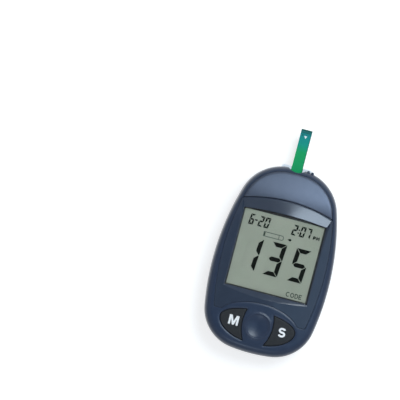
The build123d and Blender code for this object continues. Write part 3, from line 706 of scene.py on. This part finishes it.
# dished rest between the keys with a low rounded rim, the raised lip of the keypad's surround
# along the bezel, and the surface rolled down towards the two pockets
dish_x, dish_y, dish_radius, rim_radius, rim_width = 0.25, -32.2, 5.9, 6.1, 0.75
dish_depth, rim_height = 1.15, 0.30
bowl = (dish_radius ** 2 + dish_depth ** 2) / (2 * dish_depth)
lip_height, lip_width, lip_reach, lip_clear = 0.13, 1.0, 4.0, 2.5
lip_low_y, lip_full_y = oval_y + 0.5, oval_y + 4.0
roll_depth, roll_width = 0.30, 1.3


def ease(value, start, end):
    """Smooth step from 0 at start to 1 at end."""
    share = np.clip((value - start) / (end - start), 0, 1)
    return share * share * (3 - 2 * share)


def front_top(x, y):
    """Outer surface of the front shell with the rest, the lip and the rolled pockets."""
    away = np.hypot(x - dish_x, y - dish_y)
    share_x, share_y = x / oval_x_radius, (y - oval_y) / oval_y_radius
    oval = np.maximum(np.hypot(share_x, share_y), 0.05)
    steepness = np.hypot(share_x / oval_x_radius, share_y / oval_y_radius) / oval
    from_oval = (1 - oval) / np.maximum(steepness, 0.02)
    lip = lip_height * ease(from_oval, 0, lip_width) * ease(from_oval, lip_reach, lip_width)
    lip *= ease(y, lip_low_y, lip_full_y) * ease(away, rim_radius, rim_radius + lip_clear)
    near = distance(np.stack([np.ravel(x), np.ravel(y)], 1), np.vstack(pockets))
    roll = roll_depth * np.clip(1 - near.reshape(np.shape(x)) / roll_width, 0, 1) ** 2
    rim = rim_height * ease(np.abs(away - rim_radius), rim_width, 0)
    hollow = dish_depth - (bowl - np.sqrt(np.maximum(bowl ** 2 - away ** 2, 0)))
    rest = np.where(away < dish_radius, np.maximum(hollow, 0), 0)
    return shell_top(x, y) + lip - roll + rim - rest


notch_x, notch_low_y, notch_radius = -0.4, 44.1, 6.0
guide_way_x, guide_way_z = 7.75, 10.55
foot_chamfer, brow_edge, pocket_edge = 0.2, 0.15, 0.25
brow_spacing, front_spacing, guide_count = 0.35, 0.45, 120


def notched(line):
    """Pushes a plan line out of the strip's notch."""
    centre = np.array([notch_x, notch_low_y + notch_radius])
    away = line - centre
    reach = np.linalg.norm(away, axis=1)[:, None]
    return np.where(reach < notch_radius, centre + away / reach * notch_radius, line)


front = Skin()
over_guide = (np.abs(case_line[:, 0] - notch_x) < guide_way_x) & (case_line[:, 1] > 0)
foot = np.where(over_guide, guide_way_z, parting_z)
rings = [front.ring(notched(inset(case_line, shell_wall)), foot)]
for way_in, rise in ((foot_chamfer, 0.0), (0.0, foot_chamfer)):
    rings.append(front.ring(notched(inset(case_line, way_in + rise * draft)), foot + rise))
ledge = dome(*case_line.T) - shoulder - parting_z
rings.append(front.ring(notched(inset(case_line, 0.5 * ledge * draft)), parting_z + 0.5 * ledge))
shoulder_turns = np.radians(np.arange(4, 53, 6))
for turn in shoulder_turns:
    plan = inset(case_line, ledge * draft + shoulder * (1 - math.cos(turn)))
    height = dome(*plan.T) - shoulder * (1 - math.sin(turn))
    rings.append(front.ring(notched(plan), height))
front.sleeve(rings)
brow_hole = trace(lambda x, y: in_panel(x, y, shut_gap) | in_cap(x, y, shut_gap),
                  0, panel_y, brow_spacing, rounds=3)
hole_edges = [rounded_edge(front, brow_hole, front_top, brow_edge, hole=True)]
hole_edges += [rounded_edge(front, pocket, front_top, pocket_edge, hole=True)
               for pocket in pockets]
guide_radii = [rim_radius + step for step in (0.75, 0.5, 0.25, 0)]
guide_radii += [dish_radius - step for step in (0, 0.25, 0.5)]
dish_guides = [loop(dish_x, dish_y, radius, radius, guide_count) for radius in guide_radii]
fill(front, rings[-1], [edge[-1] for edge in hole_edges], front_top, front_spacing, dish_guides)

# seats under the bezel and the cap, the opening for the glass, and the roof inside, which is
# lower over the display
opening_half_x, opening_low_y, opening_high_y, opening_spacing = 22, -18.3, 24.6, 0.8
low_roof_z, low_roof_y, low_roof_half, roof_ramp, roof_rise = 15.7, 3, 26.5, 1.5, 5
roof_inset = shell_wall + 0.7


def roof_under(x, y):
    """Height of the shell's inner surface."""
    ramp = ease(np.abs(y - low_roof_y), low_roof_half, low_roof_half + roof_ramp)
    return np.minimum(dome(x, y) - roof, low_roof_z + roof_rise * ramp)


inner = front.ring(inset(case_line, roof_inset), roof_under)
front.wall(rings[0], inner)
glass_hole = trace(lambda x, y: (np.abs(x) < opening_half_x) & (y > opening_low_y)
                   & (y < opening_high_y), 0, 0, opening_spacing)
seat_outer = front.under(brow_hole, seat_z, hole_edges[0][0])
seat_inner, hole_low = front.ring(glass_hole, seat_z), front.ring(glass_hole, roof_under)
front.wall(hole_low, seat_inner)
fill(front, seat_outer, [seat_inner], seat_z, spacing=0)
pocket_low = [front.under(pocket, roof_under, edge[0])
              for pocket, edge in zip(pockets, hole_edges[1:])]
fill(front, inner, [hole_low, *pocket_low], roof_under, spacing=2.0)
front.piece("front_shell", "case", "case_navy", navy_abs, ["front_cover"], crease=40)

# --- Port ribs
# Two short upright ribs beside the strip port, moulded with the front shell in navy ABS,
# where a fingertip guides the strip in.

rib_low_z, rib_high_z, rib_edge = 11.0, 15.2, 0.3
rib_places, rib_radius_x, rib_radius_y, rib_inset = (5.3, 7.35), 0.72, 1.0, 0.4
ribs = Skin()
for x in rib_places:
    y = case_high_y - x ** 2 / (2 * top_radius) - rib_inset
    plan = loop(x, y, rib_radius_x, rib_radius_y, 24)
    edge = rounded_edge(ribs, plan, lambda px, py: np.full(np.shape(px), rib_high_z), rib_edge)
    rib_foot = ribs.under(plan, rib_low_z, edge[0])
    ribs.faces += [tuple(reversed(rib_foot)), tuple(edge[-1])]
ribs.piece("port_ribs", "case", "case_navy", navy_abs)

# --- Top cap
# Thin plate with a satin paint of lighter slate blue, let into the strip end of the case. It
# ends at the brow, where it meets the bezel. Its printed words are left off.

brow_gap, cap_thickness, cap_edge, cap_y = 0.3, 1.4, 0.25, 36


def in_plate(x, y):
    """Which plan points lie in the cap, which stops short of the brow by a dark gap."""
    return in_cap(x, y, 0) & ~below_brow(x, y, brow_gap)


def cap_under(x, y):
    """Height of the cap's underside."""
    return dome(x, y) - cap_thickness


cap_line = trace(in_plate, 0, cap_y, spacing=0.3, rounds=2)
cap = Skin()
edge = rounded_edge(cap, cap_line, shell_top, cap_edge)
fill(cap, edge[-1], [], shell_top, spacing=0.5)
fill(cap, cap.under(cap_line, cap_under, edge[0]), [], cap_under, spacing=1.5)
slate = finish("slate_satin", (0.086, 0.105, 0.148), (0.093, 0.113, 0.158), rough=(0.42, 0.47),
               patch=3.0, grain=0.05, depth=0.002, Metallic=0.65)
cap.piece("top_cap_plate", "case", "cap_satin", slate, ["top_cap"])

# --- Display bezel
# Gloss navy acrylic panel round the window, bonded into the front shell. A slope leads from
# the brow down to the window's edge, and others run down its sides and foot, with mitres.

window_x, window_low_y, window_high_y = 20.35, -16.3, 21.85
window_crest_y, window_z = 23.05, 18.1
slope_rise, head_run, crest_run = 4.2, 10.1, 9.63
side_head_run, side_foot_run, foot_run = 3.7, 8.2, 12.2
crease_blend, sill_edge, side_edge, brow_rounding = 0.02, 0.25, 0.12, 0.22
rounding_low_y, rounding_high_y = 18, 25
crease_high_y, crease_reach, mitre_share = 26.4, 4.15, 0.42


def head_share(x, y):
    """How far up the slope to the brow a point lies, by repeated correction for its arch."""
    share = (y - window_crest_y) / crest_run
    for _ in range(6):
        level = 1 - np.minimum(np.abs(x) / (window_x + side_head_run * share), 1.5) ** 2
        low = window_high_y + (window_crest_y - window_high_y) * level
        run = head_run + (crest_run - head_run) * level
        share = np.clip((y - low) / run, -3, 2)
    return share


def side_share(x, y):
    """How far up a side slope a point lies, by repeated correction for its changing width."""
    share = np.zeros(np.shape(x))
    for _ in range(8):
        along = ((y - window_low_y + foot_run * share)
                 / (window_high_y - window_low_y + (head_run + foot_run) * share))
        run = side_foot_run + (side_head_run - side_foot_run) * np.clip(along, 0, 1)
        share = np.clip((np.abs(x) - window_x) / run, -0.5, 1.5)
    return share


def funnel(x, y):
    """Height of the four slopes that lead down to the window."""
    foot = (window_low_y - y) / foot_run
    return window_z + slope_rise * np.maximum(np.maximum(head_share(x, y), side_share(x, y)), foot)


def bezel_top(x, y):
    """Crowned top of the bezel where the slopes don't cut it, with the crease eased."""
    top, cut = shell_top(x, y), funnel(x, y)
    share = np.clip(0.5 + 0.5 * (cut - top) / crease_blend, 0, 1)
    return cut + (top - cut) * share - crease_blend * share * (1 - share)


def crossing(first, last):
    """Where the slopes meet the crowned top, between two plan points or lines of them."""
    near, far = np.array(first, float), np.array(last, float)
    for _ in range(30):
        middle = (near + far) / 2
        below = (funnel(*middle.T) < shell_top(*middle.T))[:, None]
        near, far = np.where(below, middle, near), np.where(below, far, middle)
    return near


def straight(first, last, count):
    """Evenly spaced points of a line, without its last one."""
    return np.linspace(first, last, count + 1)[:-1]


panel_line = trace(lambda x, y: in_panel(x, y, 0), 0, panel_y, spacing=0.3, rounds=8)
head_x = straight(window_x, -window_x, 99)
head_y = window_high_y + (window_crest_y - window_high_y) * (1 - (head_x / window_x) ** 2)
window_line = np.vstack([
    straight((window_x, window_low_y), (window_x, window_high_y), 90),
    np.stack([head_x, head_y], 1),
    straight((-window_x, window_high_y), (-window_x, window_low_y), 90),
    straight((-window_x, window_low_y), (window_x, window_low_y), 99)])
bezel = Skin()
panel_edge = side_edge + brow_rounding * ease(panel_line[:, 1], rounding_low_y, rounding_high_y)
edge = rounded_edge(bezel, panel_line, bezel_top, panel_edge, steps=9)
sill = rounded_edge(bezel, window_line, bezel_top, sill_edge, hole=True, steps=9)
foot_corner = crossing([(window_x, window_low_y)],
                       [(window_x + side_foot_run, window_low_y - foot_run)])[0]
foot_line = np.linspace((-foot_corner[0], window_low_y), (foot_corner[0], window_low_y), 110)
ridges = [crossing(foot_line, foot_line - (0, foot_run))]
ridges[0][[0, -1]] = foot_corner * (-1, 1), foot_corner
side_line = np.linspace((window_x, foot_corner[1]), (window_x, crease_high_y), 130)
crease = crossing(side_line, side_line + (crease_reach, 0))
crease[0] = foot_corner
window_corner = np.array((window_x, window_high_y))
head_mitre = np.linspace(window_corner,
                         window_corner + mitre_share * np.array((side_head_run, head_run)), 16)
foot_mitre = np.linspace((window_x, window_low_y), foot_corner, 5)
for line in (crease, head_mitre, foot_mitre):
    ridges += [line, line * (-1, 1)]
fill(bezel, edge[-1], [sill[-1]], bezel_top, spacing=0.42, ridges=ridges)
fill(bezel, bezel.under(panel_line, seat_z, edge[0]),
     [bezel.under(window_line, seat_z, sill[0])], seat_z, spacing=0)
gloss_navy = finish("gloss_navy", (0.033, 0.046, 0.073), (0.037, 0.051, 0.080),
                    rough=(0.055, 0.065), patch=6.0, grain=0.8, depth=0.0006, IOR=1.49)
bezel.piece("bezel_panel", "case", "bezel_gloss", gloss_navy, ["display_bezel"], crease=12)

# --- Keys
# Two keys of black silicone rubber, one with a white M and one with a white S, moulded with
# eased edges and printed. Each moves straight down in its pocket.

key_gap, key_recess, key_edge = 0.15, 0.35, 0.4
flange_low_z, flange_high_z, flange_width = 14.5, 15.5, 1.0
key_x, key_y, stem_radius, stem_low_z = 12.0, -32.0, 2.6, 13.6
letter_right, letter_down, s_stroke, ink_rise, ink_sink = 0.38, 0.2, 0.98, 0.02, 0.1


def key_top(x, y):
    """Height of a key's face, a little below the case."""
    return dome(x, y) - key_recess


def letter_top(x, y):
    """Height of the face of the print."""
    return key_top(x, y) + ink_rise


def letter_foot(x, y):
    """Height in the key where the letter begins."""
    return key_top(x, y) - ink_sink


def letter_m(x, y):
    """Bold M in straight strokes, as one outline."""
    wide, tall, stroke = 2.4, 2.35, 1.0
    valley, point, arm, dip = 0.28 * tall, 0.42 * stroke, 1.35 * stroke, 0.22 * tall
    legs = [(-wide, -tall), (stroke - wide, -tall), (stroke - wide, valley), (-point, -tall)]
    legs += [(-px, py) for px, py in reversed(legs)]
    arms = [(wide, tall), (wide - arm, tall), (0, -dip), (arm - wide, tall), (-wide, tall)]
    return np.array(legs + arms) + (x, y)


def letter_s(x, y):
    """Middle line of an S: two bows, from its upper end to its lower one."""
    bows = ((0.88, 1.26, 0.90, 20, 262), (-0.93, 1.34, 0.95, 82, -160))
    return np.vstack([arc(x, y + rise, radius_x, radius_y, start, end, 26)
                      for rise, radius_x, radius_y, start, end in bows])


rubber = finish("key_rubber", (0.018, 0.020, 0.023), (0.024, 0.026, 0.029), rough=(0.5, 0.62),
                patch=1.5, grain=0.12, Specular_IOR_Level=0.3)
print_white = finish("key_print", (0.92, 0.92, 0.92), (0.96, 0.96, 0.96), patch=0.8, grain=0.2,
                     depth=0.004)
for side, key_name, body in ((-1, "m", "m_key"), (1, "s", "s_key")):
    key = Skin()
    line = pocket_line(side, -key_gap)
    edge = rounded_edge(key, line, key_top, key_edge, steps=5)
    fill(key, edge[-1], [], key_top, spacing=0.6)
    flange = pocket_line(side, flange_width)
    skirt = key.under(line, flange_high_z, edge[0])
    brim_high = key.ring(flange, flange_high_z)
    fill(key, brim_high, [skirt], flange_high_z, spacing=0)
    stem = loop(side * key_x, key_y, stem_radius, stem_radius, 36)
    stem_high = key.ring(stem, flange_low_z)
    brim_low = key.under(flange, flange_low_z, brim_high)
    fill(key, brim_low, [stem_high], flange_low_z, spacing=0)
    key.faces.append(tuple(key.under(stem, stem_low_z, stem_high)))
    key.piece(key_name + "_key_cap", body, "key_rubber", rubber, [key_name + "_button"])
    mark = Skin()
    x, y = side * key_x + letter_right, key_y - letter_down
    if side < 0:
        plan = even(letter_m(x, y), spacing=0.3)
        low_ring, high_ring = mark.ring(plan, letter_foot), mark.ring(plan, letter_top)
        mark.wall(low_ring, high_ring)
        fill(mark, high_ring, [], letter_top, spacing=0.5)
        fill(mark, low_ring, [], letter_foot, spacing=0)
    else:
        ribbon(mark, letter_s(x, y), s_stroke, letter_foot, letter_top, place=np.asarray)
    mark.piece(key_name + "_letter", body, "key_rubber", print_white)

# --- Strip port guide
# White ABS channel that leads the strip into its connector. Its lips stand just proud of the
# case on both sides of the strip.

guide_white = finish("guide_white", (0.88, 0.92, 0.97), (0.93, 0.96, 1.0), rough=(0.25, 0.35),
                     patch=1.5)
coat(guide_white, "strip_port_guide")

# --- Screws, battery cover, label
# Four self-tapping screws in deep pockets, the hooked battery cover, and a blank silver-white
# rating label, all on the back.

coat(steel, "case_screws")
coat(navy_abs, "battery_cover")
label_paper = finish("label_paper", (0.70, 0.71, 0.72), (0.78, 0.79, 0.80), rough=(0.35, 0.5),
                     patch=1.2, grain=0.1, depth=0.004)
coat(label_paper, "rear_label")

# --- Code chip
# Small plug of dark grey ABS with three grip grooves, moulded round its own circuit and
# pushed into the left side of the case.

chip_grey = finish("chip_grey", (0.075, 0.082, 0.09), (0.095, 0.102, 0.11), rough=(0.4, 0.52),
                   patch=1.5)
coat(chip_grey, "code_chip")

# --- Test strip
# Strip cut from printed polyester sheet and pushed into the port by hand. Its green deepens
# towards the tip, which has a dark band and a small white mark.

strip_print = finish("strip_print", (0.93, 0.93, 0.93), (1.0, 1.0, 1.0), rough=(0.28, 0.4),
                     patch=1.0, grain=0.2, depth=0.003, Specular_IOR_Level=0.2)
nodes, link = wiring(strip_print)
strip_low, strip_high = (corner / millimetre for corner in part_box("test_strip"))
along = nodes.new("ShaderNodeSeparateXYZ")
link(nodes.new("ShaderNodeTexCoord").outputs["Object"], along.inputs[0])
reach = nodes.new("ShaderNodeMapRange")
reach.inputs["From Min"].default_value = case_high_y * millimetre
reach.inputs["From Max"].default_value = strip_high.y * millimetre
link(along.outputs["Y"], reach.inputs["Value"])
tints = ramp(nodes, ((0.0, (0.004, 0.39, 0.125)), (0.42, (0.003, 0.38, 0.120)),
                     (0.62, (0.002, 0.32, 0.24)), (0.85, (0.003, 0.26, 0.26)),
                     (0.95, (0.010, 0.16, 0.165))))
link(reach.outputs["Result"], tints.inputs["Fac"])
printed = nodes.new("ShaderNodeMix")
printed.data_type, printed.blend_type = "RGBA", "MULTIPLY"
printed.inputs["Factor"].default_value = 1.0
shader = nodes["Principled BSDF"]
link(shader.inputs["Base Color"].links[0].from_socket, printed.inputs["A"])
link(tints.outputs["Color"], printed.inputs["B"])
link(printed.outputs["Result"], shader.inputs["Base Color"])
coat(strip_print, "test_strip")

# the print is drawn from the middle of the strip's tip: a band across the tip, a line below
# it, a dot, and the white mark; the dark line down the right edge to the port is painted shade
# of that edge
strip_half, tip = (strip_high.x - strip_low.x) / 2, ((strip_low.x + strip_high.x) / 2, strip_high.y)
print_edge, print_low_y = 0.05, 48
print_half, print_low = strip_half - print_edge, print_low_y - tip[1]
bands, white_mark = Skin(), Skin()
for skin, plan in ((bands, oblong(-print_half, print_half, -0.8, -print_edge)),
                   (bands, oblong(-print_half, strip_half - 0.5, -1.7, -1.4)),
                   # painted shade: a thin dark line down the right edge, where the strip's edge is
                   # in shade
                   (bands, oblong(strip_half - 0.28, print_half, print_low, -0.95)),
                   (bands, loop(-1.5, -2.9, 0.32, 0.32, 12)),
                   (white_mark, [(-0.7, -3.1), (0.2, -4.45), (0.8, -3.1)])):
    skin.prism(np.add(plan, tip), strip_high.z, strip_high.z + ink_rise)
band_green_and_edge_shade = finish("strip_band", (0.004, 0.095, 0.075), (0.006, 0.12, 0.095), rough=(0.3, 0.4),
                    patch=0.8, grain=0.2, depth=0.002, Specular_IOR_Level=0.2)
bands.piece("strip_bands_and_edge_shade", "strip", "strip_green", band_green_and_edge_shade)
mark_white = finish("strip_window", (0.78, 0.86, 0.84), (0.86, 0.92, 0.90), rough=(0.3, 0.4),
                    patch=0.8, grain=0.2, depth=0.002)
white_mark.piece("strip_window_mark", "strip", "strip_green", mark_white)

# --- Studio
# Pale floor, large soft lamps and a camera straight above, turned so that the meter leans
# fifteen degrees clockwise in the picture.

scene = bpy.context.scene
floor_half, floor_z, floor_grey, floor_glow = 3.0, -0.0002, 0.55, 0.68
floor_mesh = bpy.data.meshes.new("floor")
floor_line = oblong(-floor_half, floor_half, -floor_half, floor_half)
floor_mesh.from_pydata([(x, y, floor_z) for x, y in floor_line], [], [(0, 1, 2, 3)])
floor = bpy.data.objects.new("floor", floor_mesh)
scene.collection.objects.link(floor)
paper = bpy.data.materials.new("floor_white")
nodes, link = wiring(paper)
shader = nodes["Principled BSDF"]
shader.inputs["Base Color"].default_value = (floor_grey, floor_grey, floor_grey, 1)
shader.inputs["Roughness"].default_value = 0.9
shader.inputs["Specular IOR Level"].default_value = 0.0
rays = nodes.new("ShaderNodeLightPath")
seen = rays.outputs["Is Camera Ray"]
for name in ("Is Glossy Ray", "Is Transmission Ray"):
    either = nodes.new("ShaderNodeMath")
    either.operation = "MAXIMUM"
    link(seen, either.inputs[0])
    link(rays.outputs[name], either.inputs[1])
    seen = either.outputs[0]
shade = nodes.new("ShaderNodeMath")
shade.operation = "MULTIPLY"
shade.inputs[1].default_value = floor_glow
link(seen, shade.inputs[0])
link(shade.outputs[0], shader.inputs["Emission Strength"])
shader.inputs["Emission Color"].default_value = (1, 1, 1, 1)
floor_mesh.materials.append(paper)

world = bpy.data.worlds.new("studio")
nodes, link = wiring(world)
upward = nodes.new("ShaderNodeSeparateXYZ")
link(nodes.new("ShaderNodeTexCoord").outputs["Generated"], upward.inputs[0])
wall_tint = np.array((0.93, 0.96, 1.0))
walls = ramp(nodes, [(share, level * wall_tint) for share, level in
                     ((0.0, 0.30), (0.5, 0.60), (0.9, 0.28), (0.975, 0.24), (0.992, 0.08))])
link(upward.outputs["Z"], walls.inputs["Fac"])
link(walls.outputs["Color"], nodes["Background"].inputs["Color"])
scene.world = world
scene.view_settings.view_transform = "Standard"


def soft_box(name, place, size, radiance, colour, target=None, shape="RECTANGLE"):
    """A flat lamp, facing its target or straight down."""
    light = bpy.data.lights.new(name, "AREA")
    light.shape, light.size, light.size_y = shape, *size
    light.energy, light.color = radiance * math.pi * size[0] * size[1], colour
    made = bpy.data.objects.new(name, light)
    made.location = place
    if target:
        made.rotation_euler = (Vector(target) - Vector(place)).to_track_quat("-Z", "Y").to_euler()
    scene.collection.objects.link(made)


soft_box("key_lamp", (0.21, 0.36, 0.74), (0.44, 0.44), radiance=6.2, colour=(0.84, 0.94, 1.0),
         target=(0, 0, 0), shape="ELLIPSE")
soft_box("side_lamp", (0.41, 0.30, 1.0), (0.70, 1.2), radiance=0.6, colour=(0.45, 0.72, 1.0))
soft_box("slope_lamp", (-0.039, -0.82, 0.80), (0.11, 0.26), radiance=10.0,
         colour=(0.70, 0.85, 1.0))

# the camera looks at this point of the table, with this way up, and sees this width
view_middle, view_up, view_width = (-0.0420, 0.01955), (-0.2538, 0.9673), 0.1928
display_height, camera_away, sensor = 0.0165, 2.0, 36.0
camera = bpy.data.cameras.new("camera")
camera.sensor_width = sensor
camera.lens = sensor * camera_away / view_width
eye = bpy.data.objects.new("camera", camera)
eye.location = (*view_middle, display_height + camera_away)
eye.rotation_euler = (0, 0, -math.atan2(view_up[0], view_up[1]))
scene.collection.objects.link(eye)
scene.camera = eye
